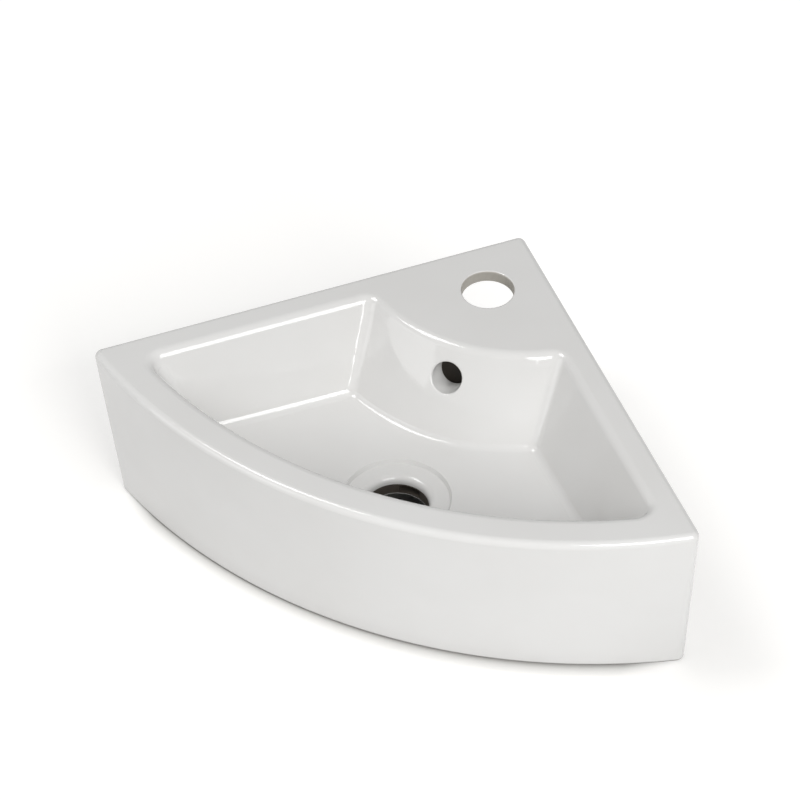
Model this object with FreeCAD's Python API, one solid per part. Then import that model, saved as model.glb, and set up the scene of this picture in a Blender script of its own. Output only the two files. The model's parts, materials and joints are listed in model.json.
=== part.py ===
"""Corner basin in glazed ceramic: a quarter-round basin that hangs in the corner of a room.

Millimetres, +Z up. The plane X = 0 halves the basin. The back corner points to +Y and the
bowed front to -Y. The origin is under the middle of the basin's box, at the foot.
The ware is cast in separate castings that are stuck together wet and fired as one.
Each casting is a node: rim and deck, bowl, apron, two side walls and what is hidden below.
"""

import FreeCAD, Part
import math
import os

# Outline of the rim and of the foot
WALL_SIDE = 328.0            # rim along each wall, out to the sharp corner
RIM_REACH = 308.0            # back corner to the front of the rim, on the diagonal
FOOT_SIDE_RUN_IN = 18.0      # how much less the foot measures along each wall
FOOT_REACH_RUN_IN = 24.0     # how much less the foot measures on the diagonal
BASIN_HEIGHT = 140.0
FRONT_CORNER_RADIUS = 6.0    # rounding of the two front uprights
BACK_CORNER_RADIUS = 5.0     # rounding of the upright in the back corner
RIM_EDGE_RADIUS = 4.5        # roll of the rim's outer edge
FOOT_EDGE_RADIUS = 3.0       # roll of the foot's outer edge

# Thickness of the ware
WARE_WALL = 9.0
DECK_THICKNESS = 9.0

# Bowl
SIDE_RIM_WIDTH = 20.5        # rim beside each wall
FRONT_RIM_WIDTH = 27.5
DECK_RADIUS = 125.0          # front of the tap deck, round the back corner
WELL_DEPTH = 58.5            # rim to the edge of the bowl's floor
SIDE_RUN_IN = 30.0           # how far each side leans in over that depth
BACK_RUN_IN = 34.0
FRONT_RUN_IN = 12.0
WELL_CORNER_RADIUS = 10.0    # the bowl's four uprights
WELL_LIP_RADIUS = 7.5        # roll of the rim's inner edge
WELL_FLOOR_RADIUS = 7.0      # cove between the bowl's walls and floor
FLOOR_FALL = 3.5             # floor edge to the waste recess
FLOOR_SLOPE = 2.0            # degrees, toward the waste

# Holes
TAP_TO_CORNER = 63.5
TAP_HOLE_RADIUS = 18.7
TAP_EDGE_RADIUS = 1.2
WASTE_TO_CORNER = 224.0
WASTE_HOLE_RADIUS = 22.5
WASTE_LIP_RADIUS = 5.0
RECESS_RADIUS = 38.5
RECESS_DEPTH = 3.0
RECESS_EDGE = 1.5            # slope of the recess's edge, in plan
OVERFLOW_DROP = 13.0         # deck's underside to the middle of the hole, on the bowl's wall
OVERFLOW_RADIUS = 11.2
OVERFLOW_EDGE_RADIUS = 1.2
OVERFLOW_FALL = 17.0         # degrees, the hole's fall away from the bowl

# Waste boss and overflow duct
BOSS_WIDTH = 11.0            # ring of the boss round the waste hole
BOSS_HEIGHT = 9.0            # below the bowl's floor
DUCT_HALF_WIDTH = 15.0       # inside
DUCT_LINING = 10.0           # extra ware behind the bowl's wall, round the overflow hole
DUCT_DEPTH = 9.0             # water way behind the lining
DUCT_WALL = 4.0
DUCT_EDGE_RADIUS = 3.0
PORT_HALF_WIDTH = 8.0        # way from the duct into the waste hole
PORT_HEIGHT = 6.0

# Side walls, the web behind the bowl and the fixings
OPENING_CORNER_RADIUS = 14.0
CORNER_STRIP = 14.0          # wall left above the pipe opening
CORNER_COVE_RADIUS = 12.0    # inner angle between the side walls
WEB_TO_PAD = 1.5             # along the wall
FIXING_HEIGHT = 96.0
FIXING_HOLE_RADIUS = 6.0
PAD_SIZE = 40.0
PAD_THICKNESS = 8.0
PAD_CORNER_RADIUS = 8.0

# Places that follow from the sizes above
FOOT_SIDE = WALL_SIDE - FOOT_SIDE_RUN_IN
FOOT_REACH = RIM_REACH - FOOT_REACH_RUN_IN
CORNER_Y = RIM_REACH / 2.0
DIAGONAL = math.sqrt(0.5)
DECK_UNDERSIDE = BASIN_HEIGHT - DECK_THICKNESS
FLOOR_AT_RECESS = BASIN_HEIGHT - WELL_DEPTH - FLOOR_FALL
BACK_LEAN = math.atan2(BACK_RUN_IN, WELL_DEPTH)
DUCT_SPREAD = WARE_WALL + DUCT_LINING + DUCT_DEPTH + DUCT_WALL
BEYOND = 6.0                 # overrun of a cutting form past what it cuts
FAR = 2.0 * WALL_SIDE        # larger than the basin


def vec(x, y, z):
    """A point or direction."""
    return FreeCAD.Vector(x, y, z)


def from_corner(side, along, gap, z):
    """A point by its way along a wall and its gap from that wall.

    side is -1 for the left wall and 1 for the right one.
    """
    x = side * DIAGONAL * (along - gap)
    y = CORNER_Y - DIAGONAL * (along + gap)
    return vec(x, y, z)


def bow(side_length, reach):
    """Radius and centre (behind the corner) of the arc from wall to wall through the front."""
    half_width = side_length * DIAGONAL
    rise = reach - half_width
    radius = (half_width ** 2 + rise ** 2) / (2.0 * rise)
    return radius, radius - reach


def wall_hit(radius, centre, gap):
    """How far along a wall the front arc crosses a line that keeps a gap from the wall."""
    shift = DIAGONAL * centre
    rest = gap ** 2 + centre ** 2 + 2.0 * shift * gap - radius ** 2
    return -shift + math.sqrt(shift ** 2 - rest)


def polygon(points):
    """A closed face through points in one plane."""
    return Part.Face(Part.makePolygon(points + [points[0]]))


def line(start, end):
    """A straight edge."""
    return Part.LineSegment(start, end).toShape()


def arc(start, middle, end):
    """A round edge through three points."""
    return Part.Arc(start, middle, end).toShape()


def cylinder(radius, height, base, axis):
    """A cylinder from its base centre along its axis."""
    return Part.makeCylinder(radius, height, base, axis)


def climb(shape):
    """Height from a shape's lowest corner to its highest."""
    heights = [vertex.Z for vertex in shape.Vertexes]
    return max(heights) - min(heights)


def uprights(solid):
    """Edges that climb from a form's bottom to its top."""
    height = climb(solid)
    return [edge for edge in solid.Edges if climb(edge) > height - 0.01]


def edges_at(solid, z):
    """Level edges at a height."""
    level = []
    for edge in solid.Edges:
        box = edge.BoundBox
        if abs(box.ZMin - z) < 0.01 and abs(box.ZMax - z) < 0.01:
            level.append(edge)
    return level


def level_band(low, high):
    """Everything between two heights."""
    return Part.makeBox(2.0 * FAR, 2.0 * FAR, high - low, vec(-FAR, -FAR, low))


# ---- outer form ---------------------------------------------------------------------------

def bowed_form(inset):
    """The round front as a whole cone, before the walls cut it. inset moves the front in."""
    rings = []
    for side_length, reach, z in ((FOOT_SIDE, FOOT_REACH, 0.0), (WALL_SIDE, RIM_REACH, BASIN_HEIGHT)):
        radius, centre = bow(side_length, reach)
        rings.append(Part.Wire(Part.makeCircle(radius - inset, vec(0, CORNER_Y + centre, z))))
    return Part.makeLoft(rings, True, True)


def outer_form():
    """The whole basin's outside as a solid, with its rounded uprights, rim and foot."""
    form = bowed_form(0.0).common(room_corner())
    back = [edge for edge in uprights(form) if abs(edge.CenterOfMass.x) < 1.0]
    form = form.makeFillet(BACK_CORNER_RADIUS, back)
    front = [edge for edge in uprights(form) if abs(edge.CenterOfMass.x) > WALL_SIDE / 2.0]
    form = form.makeFillet(FRONT_CORNER_RADIUS, front)
    form = form.makeFillet(RIM_EDGE_RADIUS, edges_at(form, BASIN_HEIGHT))
    return form.makeFillet(FOOT_EDGE_RADIUS, edges_at(form, 0.0))


# ---- bowl -----------------------------------------------------------------------------------

def well_outline(z, grow):
    """The bowl's level section at a height. grow moves all four sides outward."""
    share = (BASIN_HEIGHT - z) / WELL_DEPTH
    gap = SIDE_RIM_WIDTH + SIDE_RUN_IN * share - grow
    back = DECK_RADIUS + BACK_RUN_IN * share - grow
    rim_radius, centre = bow(WALL_SIDE, RIM_REACH)
    front = rim_radius - FRONT_RIM_WIDTH - FRONT_RUN_IN * share + grow
    back_along = math.sqrt(back ** 2 - gap ** 2)
    front_along = wall_hit(front, centre, gap)
    back_left = from_corner(-1, back_along, gap, z)
    back_right = from_corner(1, back_along, gap, z)
    front_left = from_corner(-1, front_along, gap, z)
    front_right = from_corner(1, front_along, gap, z)
    back_middle = vec(0, CORNER_Y - back, z)
    front_middle = vec(0, CORNER_Y + centre - front, z)
    return Part.Wire([
        line(back_left, front_left),
        arc(front_left, front_middle, front_right),
        line(front_right, back_right),
        arc(back_right, back_middle, back_left),
    ])


def below_floor(drop):
    """What lies under the bowl's floor: a flat middle and a slow rise away from the waste."""
    level = FLOOR_AT_RECESS - drop
    rise = (FAR - RECESS_RADIUS) * math.tan(math.radians(FLOOR_SLOPE))
    profile = polygon([
        vec(0, 0, level),
        vec(RECESS_RADIUS, 0, level),
        vec(FAR, 0, level + rise),
        vec(FAR, 0, -FAR),
        vec(0, 0, -FAR),
    ])
    form = profile.revolve(vec(0, 0, 0), vec(0, 0, 1), 360)
    form.translate(vec(0, CORNER_Y - WASTE_TO_CORNER, 0))
    return form


def well_form(grow, drop, top):
    """The bowl's inside (grow and drop 0) or outside as a solid, up to a height."""
    low = FLOOR_AT_RECESS - drop - 2.0 * BEYOND
    form = Part.makeLoft([well_outline(low, grow), well_outline(top, grow)], True, True)
    form = form.makeFillet(WELL_CORNER_RADIUS + grow, uprights(form))
    form = form.cut(below_floor(drop))
    floor_edges = [edge for edge in form.Edges if edge.BoundBox.ZMax < top - WELL_DEPTH / 2.0]
    return form.makeFillet(WELL_FLOOR_RADIUS + grow, floor_edges)


def waste_cut():
    """The shallow recess, its rounded lip and the waste hole, as one turned form."""
    recess = FLOOR_AT_RECESS - RECESS_DEPTH
    turn = WASTE_HOLE_RADIUS + WASTE_LIP_RADIUS
    bend = WASTE_LIP_RADIUS * (1.0 - DIAGONAL)
    top = vec(0, 0, FLOOR_AT_RECESS + BEYOND)
    brim = vec(RECESS_RADIUS, 0, FLOOR_AT_RECESS + BEYOND)
    edge = vec(RECESS_RADIUS, 0, FLOOR_AT_RECESS)
    step = vec(RECESS_RADIUS - RECESS_EDGE, 0, recess)
    lip_start = vec(turn, 0, recess)
    lip_middle = vec(WASTE_HOLE_RADIUS + bend, 0, recess - bend)
    lip_end = vec(WASTE_HOLE_RADIUS, 0, recess - WASTE_LIP_RADIUS)
    low = vec(WASTE_HOLE_RADIUS, 0, 0)
    axis_low = vec(0, 0, 0)
    outline = Part.Wire([
        line(top, brim),
        line(brim, edge),
        line(edge, step),
        line(step, lip_start),
        arc(lip_start, lip_middle, lip_end),
        line(lip_end, low),
        line(low, axis_low),
        line(axis_low, top),
    ])
    form = Part.Face(outline).revolve(vec(0, 0, 0), vec(0, 0, 1), 360)
    form.translate(vec(0, CORNER_Y - WASTE_TO_CORNER, 0))
    return form


def back_wall_y(z):
    """Y of the bowl's back wall, inside the bowl, in the middle plane."""
    return CORNER_Y - DECK_RADIUS - BACK_RUN_IN * (BASIN_HEIGHT - z) / WELL_DEPTH


def overflow_axis():
    """Middle of the overflow hole on the bowl's wall, and the way out into the bowl."""
    z = DECK_UNDERSIDE - OVERFLOW_DROP
    fall = math.radians(OVERFLOW_FALL)
    return vec(0, back_wall_y(z), z), vec(0, -math.cos(fall), math.sin(fall))


def overflow_cut():
    """The round overflow hole, through the bowl's wall and the lining into the water way."""
    middle, outward = overflow_axis()
    tilt = BACK_LEAN - math.radians(OVERFLOW_FALL)
    length = (WARE_WALL + DUCT_LINING + DUCT_DEPTH / 2.0) / math.cos(tilt)
    return cylinder(OVERFLOW_RADIUS, length + BEYOND, middle - outward * length, outward)


def make_bowl():
    """The well that hangs from the rim, with its waste recess and overflow hole."""
    outside = well_form(WARE_WALL, WARE_WALL, DECK_UNDERSIDE)
    bowl = outside.cut(well_form(0.0, 0.0, BASIN_HEIGHT + BEYOND))
    bowl = bowl.cut(waste_cut())
    bowl = bowl.cut(overflow_cut())
    middle, outward = overflow_axis()
    mouth = []
    for edge in bowl.Edges:
        offset = edge.CenterOfMass - middle
        if offset.Length < OVERFLOW_RADIUS / 2.0 and edge.Length > 4.0 * OVERFLOW_RADIUS:
            mouth.append(edge)
    return bowl.makeFillet(OVERFLOW_EDGE_RADIUS, mouth)


# ---- rim and deck -----------------------------------------------------------------------------

def top_openings(plate):
    """Edge loops of the openings in a plate's top face, the shortest loop first."""
    tops = [face for face in plate.Faces if face.BoundBox.ZMin > BASIN_HEIGHT - 0.01]
    top = max(tops, key=lambda face: face.Area)
    loops = [wire for wire in top.Wires if not wire.isSame(top.OuterWire)]
    return sorted(loops, key=lambda wire: wire.Length)


def make_rim_and_deck(outside):
    """The flat rim and the tap deck, with rolled edges and the tap hole."""
    plate = outside.common(level_band(DECK_UNDERSIDE, BASIN_HEIGHT + BEYOND))
    low = well_outline(DECK_UNDERSIDE - BEYOND, 0.0)
    high = well_outline(BASIN_HEIGHT + BEYOND, 0.0)
    opening = Part.makeLoft([low, high], True, True)
    opening = opening.makeFillet(WELL_CORNER_RADIUS, uprights(opening))
    tap_base = vec(0, CORNER_Y - TAP_TO_CORNER, 0)
    tap_hole = cylinder(TAP_HOLE_RADIUS, FAR, tap_base, vec(0, 0, 1))
    plate = plate.cut(opening).cut(tap_hole)
    plate = plate.makeFillet(TAP_EDGE_RADIUS, top_openings(plate)[0].Edges)
    return plate.makeFillet(WELL_LIP_RADIUS, top_openings(plate)[-1].Edges)


# ---- apron and side walls ---------------------------------------------------------------------

def wall_space(shape, side):
    """Takes a form from a wall's own axes to its place.

    In the wall's axes X runs along the wall from the corner, Y is the gap from the wall
    and Z is up. side is -1 for the left wall and 1 for the right one.
    """
    placed = shape.copy()
    placed.rotate(vec(0, 0, 0), vec(0, 0, 1), 225)
    placed.translate(vec(0, CORNER_Y, 0))
    if side > 0:
        placed = placed.mirror(vec(0, 0, 0), vec(1, 0, 0))
    return placed


def room_corner():
    """The space that the two walls of the room leave for the basin."""
    return wall_space(Part.makeBox(FAR, FAR, BASIN_HEIGHT), -1)


def mitre(side):
    """The half of space on one side of the middle plane."""
    start = 0.0 if side > 0 else -FAR
    return Part.makeBox(FAR, 2.0 * FAR, 2.0 * FAR, vec(start, -FAR, -FAR))


def wall_layer(side):
    """The layer that one side wall takes up, over the wall's whole length."""
    return wall_space(Part.makeBox(FAR, WARE_WALL, FAR, vec(-WARE_WALL, 0, -BEYOND)), side)


def make_front_apron(outside):
    """The bowed front below the rim, between the side walls."""
    apron = outside.common(level_band(-BEYOND, DECK_UNDERSIDE))
    return apron.cut(bowed_form(WARE_WALL)).cut(wall_layer(-1)).cut(wall_layer(1))


def web_back():
    """How far the back of the web stands from the corner: level with the back of the duct."""
    return CORNER_Y - back_wall_y(DECK_UNDERSIDE) - DUCT_SPREAD / math.cos(BACK_LEAN)


def along_at(distance):
    """Where a plane across the corner, at a distance from it, meets a wall's inner face."""
    return distance / DIAGONAL - WARE_WALL


def fixing_along():
    """Way along the wall to the fixing hole: its pad starts just past the web."""
    return along_at(web_back() + WARE_WALL) + WEB_TO_PAD + PAD_SIZE / 2.0


def pipe_opening():
    """The opening for pipes from the back corner to the web, in a wall's axes."""
    height = DECK_UNDERSIDE - CORNER_STRIP
    end = along_at(web_back())
    start = vec(-BEYOND, -BEYOND, -BEYOND)
    form = Part.makeBox(end + BEYOND, WARE_WALL + 2.0 * BEYOND, height + BEYOND, start)
    corner = []
    for edge in form.Edges:
        middle = edge.CenterOfMass
        if abs(middle.x - end) < 0.1 and abs(middle.z - height) < 0.1:
            corner.append(edge)
    return form.makeFillet(OPENING_CORNER_RADIUS, corner)


def fixing_hole():
    """The hole for a wall bolt through wall and pad, in a wall's axes."""
    base = vec(fixing_along(), -BEYOND, FIXING_HEIGHT)
    return cylinder(FIXING_HOLE_RADIUS, WARE_WALL + PAD_THICKNESS + 2.0 * BEYOND, base, vec(0, 1, 0))


def corner_cove():
    """The rounded inner angle between the side walls, above the pipe opening."""
    low = DECK_UNDERSIDE - CORNER_STRIP
    inner = WARE_WALL
    reach = WARE_WALL + CORNER_COVE_RADIUS
    bend = WARE_WALL + CORNER_COVE_RADIUS * (1.0 - DIAGONAL)
    angle = from_corner(-1, inner, inner, low)
    left = from_corner(-1, reach, inner, low)
    right = from_corner(1, reach, inner, low)
    middle = from_corner(1, bend, bend, low)
    section = Part.Face(Part.Wire([line(angle, left), arc(left, middle, right), line(right, angle)]))
    return section.extrude(vec(0, 0, CORNER_STRIP))


def make_side_wall(outside, side):
    """A flat side that lies on the room's wall, with its pipe opening and fixing hole."""
    wall = outside.common(level_band(-BEYOND, DECK_UNDERSIDE)).common(wall_layer(side))
    wall = wall.fuse(corner_cove()).common(mitre(side))
    wall = wall.cut(wall_space(pipe_opening(), side))
    return wall.cut(wall_space(fixing_hole(), side))


def make_web(side):
    """One half of the web across the corner, from a side wall to the middle plane."""
    front_y = CORNER_Y - web_back() - WARE_WALL
    web = Part.makeBox(2.0 * FAR, WARE_WALL, DECK_UNDERSIDE, vec(-FAR, front_y, 0))
    web = web.common(room_corner()).common(mitre(side)).cut(wall_layer(side))
    return web.cut(well_form(WARE_WALL, WARE_WALL, DECK_UNDERSIDE)).cut(duct_cover())


def make_fixing_pad(side):
    """A thick pad behind a fixing hole, for the nut and washer."""
    half = PAD_SIZE / 2.0
    start = vec(fixing_along() - half, WARE_WALL, FIXING_HEIGHT - half)
    pad = Part.makeBox(PAD_SIZE, PAD_THICKNESS, PAD_SIZE, start)
    across = [edge for edge in pad.Edges if edge.BoundBox.YLength > PAD_THICKNESS / 2.0]
    pad = pad.makeFillet(PAD_CORNER_RADIUS, across)
    return wall_space(pad.cut(fixing_hole()), side)


# ---- waste boss and overflow duct ---------------------------------------------------------------

def boss_bottom():
    """Height of the waste boss's lower face."""
    return FLOOR_AT_RECESS - WARE_WALL - BOSS_HEIGHT


def make_waste_boss():
    """The thick ring under the waste hole, with the port that lets the overflow in."""
    centre = vec(0, CORNER_Y - WASTE_TO_CORNER, boss_bottom())
    up = vec(0, 0, 1)
    height = BOSS_HEIGHT + WARE_WALL
    ring = cylinder(WASTE_HOLE_RADIUS + BOSS_WIDTH, height, centre, up)
    ring = ring.makeFillet(BOSS_WIDTH / 4.0, edges_at(ring, boss_bottom()))
    ring = ring.cut(cylinder(WASTE_HOLE_RADIUS, height, centre, up))
    port = Part.makeBox(
        2.0 * PORT_HALF_WIDTH,
        WASTE_HOLE_RADIUS + 2.0 * BOSS_WIDTH,
        PORT_HEIGHT,
        centre + vec(-PORT_HALF_WIDTH, 0, (BOSS_HEIGHT - PORT_HEIGHT) / 2.0),
    )
    return ring.cut(port).cut(well_form(WARE_WALL, WARE_WALL, DECK_UNDERSIDE))


def duct_form(half_width, spread, top, bottom):
    """What lies between a line that stands off the bowl's back wall and the waste's middle."""
    waste_y = CORNER_Y - WASTE_TO_CORNER
    low_y = back_wall_y(bottom) + spread / math.cos(BACK_LEAN)
    high_y = back_wall_y(top) + spread / math.cos(BACK_LEAN)
    outline = [
        vec(-half_width, high_y, top),
        vec(-half_width, low_y, bottom),
        vec(-half_width, waste_y, bottom),
        vec(-half_width, waste_y, top),
    ]
    return polygon(outline).extrude(vec(2.0 * half_width, 0, 0))


def duct_bottom():
    """Height of the water way's floor, level with the port in the boss."""
    return boss_bottom() + (BOSS_HEIGHT - PORT_HEIGHT) / 2.0


def duct_cover():
    """The overflow duct's outside, from the deck down and forward to the waste."""
    half_width = DUCT_HALF_WIDTH + DUCT_WALL
    cover = duct_form(half_width, DUCT_SPREAD, DECK_UNDERSIDE, duct_bottom() - DUCT_WALL)
    bowl_outside = well_form(WARE_WALL, WARE_WALL, DECK_UNDERSIDE)
    free_edges = []
    for edge in cover.Edges:
        middle = edge.CenterOfMass
        past_waste = middle.y - CORNER_Y + WASTE_TO_CORNER
        if past_waste > 1.0 and not bowl_outside.isInside(middle, 0.1, True):
            free_edges.append(edge)
    return cover.makeFillet(DUCT_EDGE_RADIUS, free_edges)


def duct_lining():
    """The extra ware that the overflow hole runs through, behind the bowl's wall."""
    low = DECK_UNDERSIDE - OVERFLOW_DROP - OVERFLOW_RADIUS - DUCT_LINING
    return duct_form(DUCT_HALF_WIDTH, WARE_WALL + DUCT_LINING, DECK_UNDERSIDE, low)


def make_overflow_boss():
    """The lining as a casting of its own, with the overflow hole through it."""
    bowl_outside = well_form(WARE_WALL, WARE_WALL, DECK_UNDERSIDE)
    return duct_lining().cut(bowl_outside).cut(overflow_cut())


def make_overflow_duct():
    """The cover that makes a water way from the overflow hole to the waste hole."""
    waste = vec(0, CORNER_Y - WASTE_TO_CORNER, 0)
    boss_core = cylinder(WASTE_HOLE_RADIUS + BOSS_WIDTH, FAR, waste, vec(0, 0, 1))
    bowl_outside = well_form(WARE_WALL, WARE_WALL, DECK_UNDERSIDE)
    way = duct_form(DUCT_HALF_WIDTH, DUCT_SPREAD - DUCT_WALL, DECK_UNDERSIDE - DUCT_WALL, duct_bottom())
    duct = duct_cover().cut(bowl_outside).cut(boss_core)
    return duct.cut(way).cut(duct_lining())


# ---- the whole basin ----------------------------------------------------------------------------

def make_parts():
    """Every casting by its name, with the origin under the middle of the basin's box."""
    outside = outer_form()
    castings = {
        "rim_and_deck": make_rim_and_deck(outside),
        "front_apron": make_front_apron(outside),
        "left_side_wall": make_side_wall(outside, -1),
        "right_side_wall": make_side_wall(outside, 1),
        "bowl": make_bowl(),
        "waste_boss": make_waste_boss(),
        "overflow_boss": make_overflow_boss(),
        "overflow_duct": make_overflow_duct(),
        "left_web": make_web(-1),
        "right_web": make_web(1),
        "left_fixing_pad": make_fixing_pad(-1),
        "right_fixing_pad": make_fixing_pad(1),
    }
    box = outside.optimalBoundingBox(False)
    for casting in castings.values():
        casting.translate(vec(0, -(box.YMin + box.YMax) / 2.0, 0))
    return castings


os.makedirs("parts", exist_ok=True)
for name, shape in make_parts().items():
    shape.exportStep("parts/" + name + ".step")
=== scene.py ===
"""Looks of a small corner basin in white glazed ceramic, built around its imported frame.

The ware is one glazed skin over several castings. Every piece is in metres, in the frame's own
axes: +Z up, the back corner toward +Y, the bowed front toward -Y.
"""

import json
import logging
import math
from dataclasses import dataclass, field
from enum import Enum

import bmesh
import bpy
from mathutils import Matrix, Vector


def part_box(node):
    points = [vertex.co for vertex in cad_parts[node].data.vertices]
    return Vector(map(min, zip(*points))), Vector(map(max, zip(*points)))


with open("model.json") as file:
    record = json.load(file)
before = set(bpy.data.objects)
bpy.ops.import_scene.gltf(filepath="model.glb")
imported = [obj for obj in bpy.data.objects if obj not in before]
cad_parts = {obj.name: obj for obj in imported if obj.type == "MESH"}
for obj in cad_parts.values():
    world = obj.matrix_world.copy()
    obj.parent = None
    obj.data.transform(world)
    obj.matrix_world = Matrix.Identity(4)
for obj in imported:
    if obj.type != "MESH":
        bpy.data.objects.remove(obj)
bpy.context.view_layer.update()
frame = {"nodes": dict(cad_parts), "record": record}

log = logging.getLogger("corner_basin")

MM = 0.001
# Near-black colour painted as shade in the waste's bore and port and in the overflow's water way.
PAINTED_SHADE = (0.060, 0.050, 0.040)
Socket = bpy.types.NodeSocket
Colour = tuple | Socket


class Slot(Enum):
    """The record's names for what the castings are made of."""

    GLAZE = "white_glaze"
    BARE = "bare_ware"


class MixSocket(Enum):
    """Numbers of the sockets of a Mix node that mixes colours."""

    SHARE = 0
    FIRST = 6
    SECOND = 7
    RESULT = 2


# ---- shader graph ---------------------------------------------------------------------------


class Value:
    """A socket that carries a number, with Python's operators as Math nodes."""

    def __init__(self, graph: "Graph", socket: Socket) -> None:
        """Wraps a socket.

        Args:
            graph: The graph that the socket belongs to.
            socket: The output that carries the number.
        """
        self.graph = graph
        self.socket = socket

    def _math(self, operation: str, *values: "Value | float") -> "Value":
        """Adds one Math node and returns its result."""
        inputs = dict(enumerate(values))
        return self.graph.add("ShaderNodeMath", {"operation": operation}, inputs).value("Value")

    def __add__(self, other: "Value | float") -> "Value":
        """Sum."""
        return self._math("ADD", self, other)

    def __radd__(self, other: "Value | float") -> "Value":
        """Sum, reflected."""
        return self._math("ADD", other, self)

    def __sub__(self, other: "Value | float") -> "Value":
        """Difference."""
        return self._math("SUBTRACT", self, other)

    def __rsub__(self, other: "Value | float") -> "Value":
        """Difference, reflected."""
        return self._math("SUBTRACT", other, self)

    def __mul__(self, other: "Value | float") -> "Value":
        """Product."""
        return self._math("MULTIPLY", self, other)

    def __rmul__(self, other: "Value | float") -> "Value":
        """Product, reflected."""
        return self._math("MULTIPLY", other, self)

    def root(self) -> "Value":
        """Square root."""
        return self._math("SQRT", self)

    def size(self) -> "Value":
        """The number without its sign."""
        return self._math("ABSOLUTE", self)

    def clamped(self) -> "Value":
        """The number kept between 0 and 1."""
        return self._math("MINIMUM", self._math("MAXIMUM", self, 0.0), 1.0)

    def ramp(self, low: float, high: float) -> "Value":
        """The number's way from low to high, kept between 0 and 1."""
        return ((self - low) * (1.0 / (high - low))).clamped()


class Made:
    """A node with its outputs by name."""

    def __init__(self, graph: "Graph", node: bpy.types.Node) -> None:
        """Wraps a node."""
        self.graph = graph
        self.node = node

    def value(self, name: str) -> Value:
        """An output that carries a number."""
        return Value(self.graph, self.node.outputs[name])

    def out(self, name: str | int) -> Socket:
        """An output of any kind."""
        return self.node.outputs[name]


class Graph:
    """The node tree of one material or world."""

    def __init__(self, owner: "bpy.types.Material | bpy.types.World") -> None:
        """Clears the owner's tree.

        Args:
            owner: The material or world whose nodes are made.
        """
        owner.use_nodes = True
        self.tree = owner.node_tree
        self.tree.nodes.clear()

    def add(self, kind: str, settings: dict | None = None, inputs: dict | None = None) -> Made:
        """Adds any node.

        Args:
            kind: The node's type.
            settings: Properties that are set before its inputs.
            inputs: Values or links by socket name or number.

        Returns:
            The node with its outputs.
        """
        node = self.tree.nodes.new(kind)
        for name, setting in (settings or {}).items():
            setattr(node, name, setting)
        for name, given in (inputs or {}).items():
            socket = node.inputs[name]
            if isinstance(given, Value):
                self.tree.links.new(given.socket, socket)
            elif isinstance(given, Socket):
                self.tree.links.new(given, socket)
            else:
                socket.default_value = given
        return Made(self, node)

    def place(self) -> Socket:
        """The point on the piece, in the piece's own axes."""
        return self.add("ShaderNodeTexCoord").out("Object")

    def axes(self, place: Socket) -> list[Value]:
        """A place's X, Y and Z."""
        parts = self.add("ShaderNodeSeparateXYZ", {}, {0: place})
        return [parts.value(axis) for axis in "XYZ"]

    def distance(self, place: Socket, target: Vector) -> Value:
        """How far a place is from a fixed point."""
        inputs = {0: place, 1: target}
        return self.add("ShaderNodeVectorMath", {"operation": "DISTANCE"}, inputs).value("Value")

    def span(self, place: Socket, across: float, back: float) -> Value:
        """How far a place is from an upright line.

        Args:
            place: The point on the piece.
            across: The line's X.
            back: The line's Y.

        Returns:
            The level distance.
        """
        x, y, _ = self.axes(place)
        aside = x - across
        behind = y - back
        return (aside * aside + behind * behind).root()

    def seen(self) -> Value:
        """Tells light that the camera sees from light that falls on the basin.

        Returns:
            1 for rays from the camera, straight, mirrored or through glass, and 0 for the rest.
        """
        path = self.add("ShaderNodeLightPath")
        rays = path.value("Is Camera Ray") + path.value("Is Glossy Ray")
        return (rays + path.value("Is Transmission Ray")).clamped()

    def noise(self, place: Socket, scale: float, detail: float) -> Value:
        """Smooth noise between 0 and 1, with scale in waves to the metre."""
        inputs = {"Vector": place, "Scale": scale, "Detail": detail, "Roughness": 0.5}
        return self.add("ShaderNodeTexNoise", {"noise_dimensions": "3D"}, inputs).value("Fac")

    def mix(self, share: Value, first: Colour, second: Colour) -> Socket:
        """Mixes two colours.

        Args:
            share: How much of the second colour there is, from 0 to 1.
            first: A plain colour or the result of another node.
            second: A plain colour or the result of another node.

        Returns:
            The colour between them.
        """
        ends = [(*end, 1.0) if isinstance(end, tuple) else end for end in (first, second)]
        inputs = {
            MixSocket.SHARE.value: share,
            MixSocket.FIRST.value: ends[0],
            MixSocket.SECOND.value: ends[1],
        }
        return self.add("ShaderNodeMix", {"data_type": "RGBA"}, inputs).out(MixSocket.RESULT.value)

    def bump(self, height: Value, distance: float, under: Socket | None = None) -> Socket:
        """Leans the surface with a height.

        Args:
            height: The height, from 0 to 1.
            distance: How far 1 stands above 0, in metres.
            under: The normal that this one is added to, if there is one.

        Returns:
            The normal.
        """
        inputs = {"Strength": 1.0, "Distance": distance, "Height": height}
        if under is not None:
            inputs["Normal"] = under
        return self.add("ShaderNodeBump", {}, inputs).out("Normal")

    def surface(self, shader: Socket) -> None:
        """Ends the tree in a surface."""
        self.add("ShaderNodeOutputMaterial", {}, {"Surface": shader})


# ---- finishes -------------------------------------------------------------------------------


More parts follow.
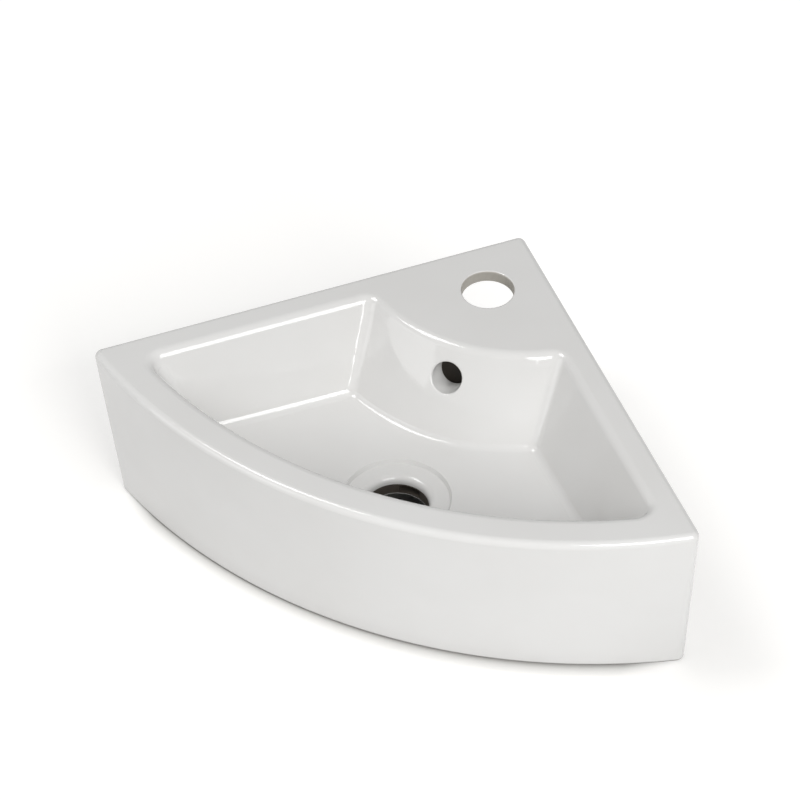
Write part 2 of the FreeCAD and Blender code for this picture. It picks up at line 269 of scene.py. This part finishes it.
@dataclass(frozen=True)
class Glaze:
    """Glossy opaque white glaze over fired ware."""

    name: str = "plain_white_glaze"
    thick: tuple = (0.735, 0.731, 0.720)
    thin: tuple = (0.710, 0.704, 0.690)
    bare_and_shade_colour: tuple = (0.42, 0.40, 0.36)
    gloss_low: float = 0.025
    gloss_high: float = 0.060
    bare_gloss: float = 0.55
    bending: float = 1.52
    cloud_scale: float = 9.0
    cloud_reach: tuple = (0.35, 0.65)
    wave_scale: float = 22.0
    wave_height: float = 0.35 * MM
    peel_scale: float = 520.0
    peel_height: float = 0.006 * MM

    def bare_and_shade_mask(self, graph: Graph, place: Socket) -> Value | None:
        """Where the ware has no glaze, and where a subclass paints shade.

        Args:
            graph: The finish's node tree.
            place: The point on the piece.

        Returns:
            1 where it is unglazed or painted as shade and 0 where it is plain glaze, or None where
            it is glazed all over.
        """
        return None

    def make(self) -> bpy.types.Material:
        """Builds the material.

        Returns:
            The glaze, with clouding, uneven gloss, slow waves and a fine orange peel.
        """
        material = bpy.data.materials.new(self.name)
        graph = Graph(material)
        place = graph.place()
        cloud = graph.noise(place, self.cloud_scale, 3.0)
        wave = graph.noise(place, self.wave_scale, 1.0)
        peel = graph.noise(place, self.peel_scale, 2.0)
        colour = graph.mix(cloud.ramp(*self.cloud_reach), self.thin, self.thick)
        gloss = self.gloss_low + cloud * (self.gloss_high - self.gloss_low)
        bare_and_shade_mask = self.bare_and_shade_mask(graph, place)
        # The second colour is unglazed ware in the tap hole, and painted shade at the foot, in the
        # waste's bore and in the overflow's water way.
        if bare_and_shade_mask is not None:
            colour = graph.mix(bare_and_shade_mask, colour, self.bare_and_shade_colour)
            gloss = gloss + bare_and_shade_mask * self.bare_gloss
        normal = graph.bump(wave, self.wave_height)
        normal = graph.bump(peel, self.peel_height, under=normal)
        shader = graph.add("ShaderNodeBsdfPrincipled", {}, {
            "Base Color": colour, "Roughness": gloss, "Normal": normal, "IOR": self.bending,
        })
        graph.surface(shader.out("BSDF"))
        return material


@dataclass(frozen=True)
class BoredGlaze(Glaze):
    """Glaze that stops at the tap hole, which is cut after glazing and has an unglazed wall."""

    mount: str = "tap_hole"
    margin: float = 0.25 * MM

    def bare_and_shade_mask(self, graph: Graph, place: Socket) -> Value:
        """The wall of the hole.

        Args:
            graph: The finish's node tree.
            place: The point on the piece.

        Returns:
            1 on the wall and 0 on the rest.
        """
        hole = next(row for row in frame["record"]["mounts"] if row["name"] == self.mount)
        across, back, _ = hole["pos_m"]
        radius = hole["dims"]["r_mm"] * MM
        span = graph.span(place, across, back)
        return 1.0 - span.ramp(radius + self.margin, radius + 2.0 * self.margin)


@dataclass(frozen=True)
class BossGlaze(Glaze):
    """Glaze on the outside of the waste's ring, with shade painted near-black in its bore and its
    port.
    """

    # Near-black painted shade in the bore and port, where little light reaches.
    bare_and_shade_colour: tuple = PAINTED_SHADE
    node: str = "waste_boss"
    edge: float = 0.3 * MM

    def bare_and_shade_mask(self, graph: Graph, place: Socket) -> Value:
        """The bore and the port, where shade is painted.

        Args:
            graph: The finish's node tree.
            place: The point on the piece.

        Returns:
            1 in the bore and the port and 0 on the outside.
        """
        low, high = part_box(self.node)
        middle = (low + high) / 2.0
        radius = (high.x - low.x) / 2.0
        span = graph.span(place, middle.x, middle.y)
        inside = 1.0 - span.ramp(radius - 2.0 * self.edge, radius - self.edge)
        up = graph.axes(place)[2]
        return inside * up.ramp(low.z + self.edge, low.z + 2.0 * self.edge)


@dataclass(frozen=True)
class FootGlaze(Glaze):
    """Glaze that is wiped off the foot, where the ware stands in the kiln; the foot is painted
    near-black as shadow where it meets the floor.
    """

    # The near-black colour is painted shadow where the foot meets the floor; it fills the unglazed
    # band up to wiped and fades out by twice that height.
    bare_and_shade_colour: tuple = (0.11, 0.101, 0.088)
    wiped: float = 1.5 * MM

    def bare_and_shade_mask(self, graph: Graph, place: Socket) -> Value:
        """The foot, unglazed and painted near-black as shadow.

        Args:
            graph: The finish's node tree.
            place: The point on the piece.

        Returns:
            1 at the foot and 0 above it.
        """
        return 1.0 - graph.axes(place)[2].ramp(self.wiped, 2.0 * self.wiped)


@dataclass(frozen=True)
class DuctGlaze(Glaze):
    """Glaze over the covered water way, with shade painted near-black inside."""

    # Near-black painted shade inside the water way.
    bare_and_shade_colour: tuple = PAINTED_SHADE
    node: str = "overflow_duct"
    beside: str = "left_web"
    wall: float = 4.0 * MM
    lean: float = math.radians(30.2)
    edge: float = 0.2 * MM

    def bare_and_shade_mask(self, graph: Graph, place: Socket) -> Value:
        """The faces of the water way, where shade is painted.

        The duct's back is level with the back of the web beside it at the top, and leans.

        Args:
            graph: The finish's node tree.
            place: The point on the piece.

        Returns:
            1 in the water way and 0 on the outside.
        """
        low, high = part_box(self.node)
        top_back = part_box(self.beside)[1].y
        across, back, up = graph.axes(place)
        half = high.x - self.wall
        narrow = 1.0 - across.size().ramp(half + self.edge, half + 2.0 * self.edge)
        outside = top_back - (high.z - up) * math.tan(self.lean)
        depth = (outside - back) * math.cos(self.lean)
        deep = depth.ramp(self.wall - 2.0 * self.edge, self.wall - self.edge)
        floor = low.z + self.wall
        return narrow * deep * up.ramp(floor - 2.0 * self.edge, floor - self.edge)


@dataclass(frozen=True)
class BareWare:
    """Fired ware with no glaze: matt, slightly warmer, with fine grit."""

    name: str = "unglazed_ware"
    pale: tuple = (0.72, 0.69, 0.63)
    dark: tuple = (0.60, 0.57, 0.51)
    roughness: float = 0.75
    stain_scale: float = 30.0
    stain_reach: tuple = (0.3, 0.7)
    grit_scale: float = 900.0
    grit_height: float = 0.05 * MM

    def make(self) -> bpy.types.Material:
        """Builds the material.

        Returns:
            The ware, with stains and grit.
        """
        material = bpy.data.materials.new(self.name)
        graph = Graph(material)
        place = graph.place()
        grit = graph.noise(place, self.grit_scale, 3.0)
        stain = graph.noise(place, self.stain_scale, 4.0)
        colour = graph.mix(stain.ramp(*self.stain_reach), self.dark, self.pale)
        shader = graph.add("ShaderNodeBsdfPrincipled", {}, {
            "Base Color": colour, "Roughness": self.roughness,
            "Normal": graph.bump(grit, self.grit_height),
        })
        graph.surface(shader.out("BSDF"))
        return material


# ---- studio ---------------------------------------------------------------------------------


def direction(azimuth: float, elevation: float) -> Vector:
    """The way from the basin out to a place round it.

    Args:
        azimuth: Degrees; 0 is in front of the basin and 90 to its right.
        elevation: Degrees above the floor.

    Returns:
        A unit vector.
    """
    turn = math.radians(azimuth)
    rise = math.radians(elevation)
    level = math.cos(rise)
    return Vector((math.sin(turn) * level, -math.cos(turn) * level, math.sin(rise)))


@dataclass(frozen=True)
class Softbox:
    """A square lamp that points at the basin."""

    name: str
    azimuth: float
    elevation: float
    side: float
    radiance: float
    distance: float = 3.2

    def make(self, target: Vector) -> None:
        """Builds the lamp.

        Args:
            target: The point that it lights.
        """
        lamp = bpy.data.lights.new(self.name, "AREA")
        lamp.shape = "SQUARE"
        lamp.size = self.side
        lamp.energy = self.radiance * math.pi * self.side ** 2
        box = bpy.data.objects.new(self.name, lamp)
        away = direction(self.azimuth, self.elevation)
        box.location = target + away * self.distance
        box.rotation_euler = away.to_track_quat("Z", "Y").to_euler()
        bpy.context.scene.collection.objects.link(box)


@dataclass
class Camera:
    """The camera at the photograph's angle."""

    azimuth: float = 23.67
    elevation: float = 43.95
    roll: float = -0.066
    distance: float = 5.0865
    lens: float = 315.0
    sensor: float = 36.0
    sight: float = 100.0
    target: Vector = field(default_factory=lambda: Vector((-0.0701, 0.0957, 0.0)))

    def make(self) -> None:
        """Builds the camera and makes it the scene's."""
        data = bpy.data.cameras.new("camera")
        data.lens = self.lens
        data.sensor_width = self.sensor
        data.clip_end = self.sight
        camera = bpy.data.objects.new("camera", data)
        away = direction(self.azimuth, self.elevation)
        right = Vector((0.0, 0.0, 1.0)).cross(away).normalized()
        turn = Matrix((right, away.cross(right), away)).transposed()
        roll = Matrix.Rotation(math.radians(self.roll), 3, "Z")
        place = Matrix.Translation(self.target + away * self.distance)
        camera.matrix_world = place @ (turn @ roll).to_4x4()
        bpy.context.scene.collection.objects.link(camera)
        bpy.context.scene.camera = camera


@dataclass
class Floor:
    """The pale floor, which the camera sees as white with the basin's shadow on it and a painted
    shadow along the front of the foot.
    """

    side: float = 30.0
    drop: float = 0.2 * MM
    colour: tuple = (0.82, 0.82, 0.82)
    colour_seen: tuple = (0.66, 0.651, 0.632)
    glow_near: float = 0.44
    glow_far: float = 0.54
    under_reach: tuple = (0.09, 0.13)
    shadow_place: Vector = field(default_factory=lambda: Vector((0.0, -0.15, 0.0)))
    shadow_reach: tuple = (0.25, 0.37)
    foot_level: float = 0.5 * MM
    # Reach and side end of the painted shadow along the front of the foot.
    foot_shadow_reach: tuple = (0.5 * MM, 13.0 * MM)
    foot_shadow_end: float = 30.0 * MM

    def painted_foot_shadow(self, graph: Graph, place: Socket) -> Value:
        """Painted shadow: how close the floor is to the front of the foot.

        Args:
            graph: The floor's node tree.
            place: The point on the floor.

        Returns:
            1 at the foot and 0 away from it.
        """
        skirt = frame["nodes"]["front_apron"].data.vertices
        foot = [vertex.co for vertex in skirt if vertex.co.z < self.foot_level]
        front = min(point.y for point in foot)
        tip = max(foot, key=lambda point: point.x)
        rise = tip.y - front
        radius = (tip.x ** 2 + rise ** 2) / (2.0 * rise)
        centre = Vector((0.0, front + radius, 0.0))
        apart = (graph.distance(place, centre) - radius).size()
        near = 1.0 - apart.ramp(*self.foot_shadow_reach)
        aside = graph.axes(place)[0].size()
        return near * (1.0 - aside.ramp(tip.x - self.foot_shadow_end, tip.x))

    def glow(self, graph: Graph, seen: Value) -> Value:
        """How much white the floor adds where it is seen.

        Args:
            graph: The floor's node tree.
            seen: 1 for rays from the camera and 0 for the rest.

        Returns:
            The strength: none under the basin, less near it, cut by the painted shadow along the
                foot, and full further out.
        """
        place = graph.place()
        outside = graph.distance(place, Vector()).ramp(*self.under_reach)
        beyond = graph.distance(place, self.shadow_place).ramp(*self.shadow_reach)
        level = self.glow_near + beyond * (self.glow_far - self.glow_near)
        # The glow is taken away where the shadow along the front of the foot is painted.
        return seen * outside * level * (1.0 - self.painted_foot_shadow(graph, place))

    def finish(self) -> bpy.types.Material:
        """Builds the material.

        Returns:
            Matt paper with a glow, clear from below so that the underside can be looked at.
        """
        material = bpy.data.materials.new("floor")
        graph = Graph(material)
        seen = graph.seen()
        colour = graph.mix(seen, self.colour, self.colour_seen)
        paper = graph.add("ShaderNodeBsdfDiffuse", {}, {"Color": colour}).out("BSDF")
        level = self.glow(graph, seen)
        glow = graph.add("ShaderNodeEmission", {}, {"Strength": level}).out("Emission")
        both = graph.add("ShaderNodeAddShader", {}, {0: paper, 1: glow}).out("Shader")
        clear = graph.add("ShaderNodeBsdfTransparent").out("BSDF")
        below = graph.add("ShaderNodeNewGeometry").value("Backfacing")
        sided = graph.add("ShaderNodeMixShader", {}, {0: below, 1: both, 2: clear})
        graph.surface(sided.out("Shader"))
        return material

    def make(self) -> None:
        """Lays the floor just under the foot."""
        mesh = bpy.data.meshes.new("floor")
        shape = bmesh.new()
        bmesh.ops.create_grid(shape, x_segments=1, y_segments=1, size=self.side / 2.0)
        bmesh.ops.translate(shape, verts=shape.verts, vec=(0.0, 0.0, -self.drop))
        shape.to_mesh(mesh)
        shape.free()
        mesh.materials.append(self.finish())
        floor = bpy.data.objects.new("floor", mesh)
        bpy.context.scene.collection.objects.link(floor)


@dataclass
class Studio:
    """Camera, floor, room and lamps."""

    middle: Vector = field(default_factory=lambda: Vector((0.0, 0.0, 0.07)))
    world_level: float = 0.275
    boxes: tuple = (
        Softbox("overhead_box", -68.0, 63.0, 1.15, 7.7),
        Softbox("front_right_box", 49.0, 34.0, 1.80, 7.2),
        Softbox("front_left_box", -44.0, 12.0, 1.92, 1.35),
    )

    def world(self) -> None:
        """Lights the room: white where it is seen or mirrored, plain grey as light."""
        world = bpy.data.worlds.new("room")
        bpy.context.scene.world = world
        graph = Graph(world)
        level = self.world_level + graph.seen() * (1.0 - self.world_level)
        shader = graph.add("ShaderNodeBackground", {}, {"Strength": level}).out("Background")
        graph.add("ShaderNodeOutputWorld", {}, {"Surface": shader})

    def make(self) -> None:
        """Builds the whole studio."""
        Camera().make()
        Floor().make()
        self.world()
        for box in self.boxes:
            box.make(self.middle)
        bpy.context.scene.view_settings.view_transform = "Standard"


# ---- basin ----------------------------------------------------------------------------------


class Kiln:
    """Makes each finish once and keeps its material."""

    def __init__(self) -> None:
        """Starts empty."""
        self.fired: dict[Glaze | BareWare, bpy.types.Material] = {}

    def fire(self, finish: Glaze | BareWare) -> bpy.types.Material:
        """Gives a finish's material.

        Args:
            finish: The finish, which is made the first time it is asked for.

        Returns:
            The material.
        """
        if finish not in self.fired:
            self.fired[finish] = finish.make()
        return self.fired[finish]


@dataclass(frozen=True)
class Castings:
    """Castings that do one job, with the finish that each of them gets."""

    slot: Slot = Slot.GLAZE
    plain: Glaze = Glaze()

    def finishes(self) -> dict[str, Glaze | BareWare]:
        """The finish of each casting by the casting's name."""
        return {}

    def dress(self, kiln: Kiln) -> None:
        """Gives every casting its finish.

        Args:
            kiln: Where the materials are made.
        """
        recorded = {row["node"]: row["material_slot"] for row in frame["record"]["subparts"]}
        for name, finish in self.finishes().items():
            material = kiln.fire(finish)
            for held in frame["nodes"][name].material_slots:
                held.material = material
            if recorded[name] != self.slot.value:
                log.warning("%s is %s in the record", name, recorded[name])
            log.info("%s: %s", name, material.name)


@dataclass(frozen=True)
class Top(Castings):
    """The rim and the tap deck."""

    punched: Glaze = BoredGlaze("glaze_with_punched_hole")

    def finishes(self) -> dict[str, Glaze | BareWare]:
        """Glaze with an unglazed wall in the tap hole."""
        return {"rim_and_deck": self.punched}


@dataclass(frozen=True)
class Skirt(Castings):
    """The bowed front, the two side walls and the web between them, which stand on the foot."""

    footed: Glaze = FootGlaze("glaze_with_wiped_foot_and_painted_shadow")

    def finishes(self) -> dict[str, Glaze | BareWare]:
        """Glaze that is wiped off where the ware stands, with painted shadow there."""
        pairs = [f"{side}_{piece}" for side in ("left", "right") for piece in ("side_wall", "web")]
        return {name: self.footed for name in ("front_apron", *pairs)}


@dataclass(frozen=True)
class Well(Castings):
    """The bowl and the ring under its waste hole."""

    boss: Glaze = BossGlaze("glaze_with_painted_shade_in_bore")

    def finishes(self) -> dict[str, Glaze | BareWare]:
        """Glaze in the bowl, and shade painted near-black in the bore below it."""
        return {"bowl": self.plain, "waste_boss": self.boss}


@dataclass(frozen=True)
class Overflow(Castings):
    """The bored lump behind the overflow hole and the duct that leads down to the waste."""

    duct: Glaze = DuctGlaze("glaze_with_painted_shade_in_duct")

    def finishes(self) -> dict[str, Glaze | BareWare]:
        """Glaze in the bore, and shade painted near-black in the water way behind it."""
        return {"overflow_boss": self.plain, "overflow_duct": self.duct}


@dataclass(frozen=True)
class FixingPads(Castings):
    """The pads behind the wall bolt holes, which no glaze reaches."""

    slot: Slot = Slot.BARE
    ware: BareWare = BareWare()

    def finishes(self) -> dict[str, Glaze | BareWare]:
        """Bare ware on both pads."""
        return {f"{side}_fixing_pad": self.ware for side in ("left", "right")}


def main() -> None:
    """Builds the studio and the basin."""
    logging.basicConfig(level=logging.INFO, format="%(name)s: %(message)s")
    Studio().make()
    kiln = Kiln()
    for castings in (Top(), Skirt(), Well(), Overflow(), FixingPads()):
        log.info("dressing %s", type(castings).__name__)
        castings.dress(kiln)


if __name__ == "__main__":
    main()
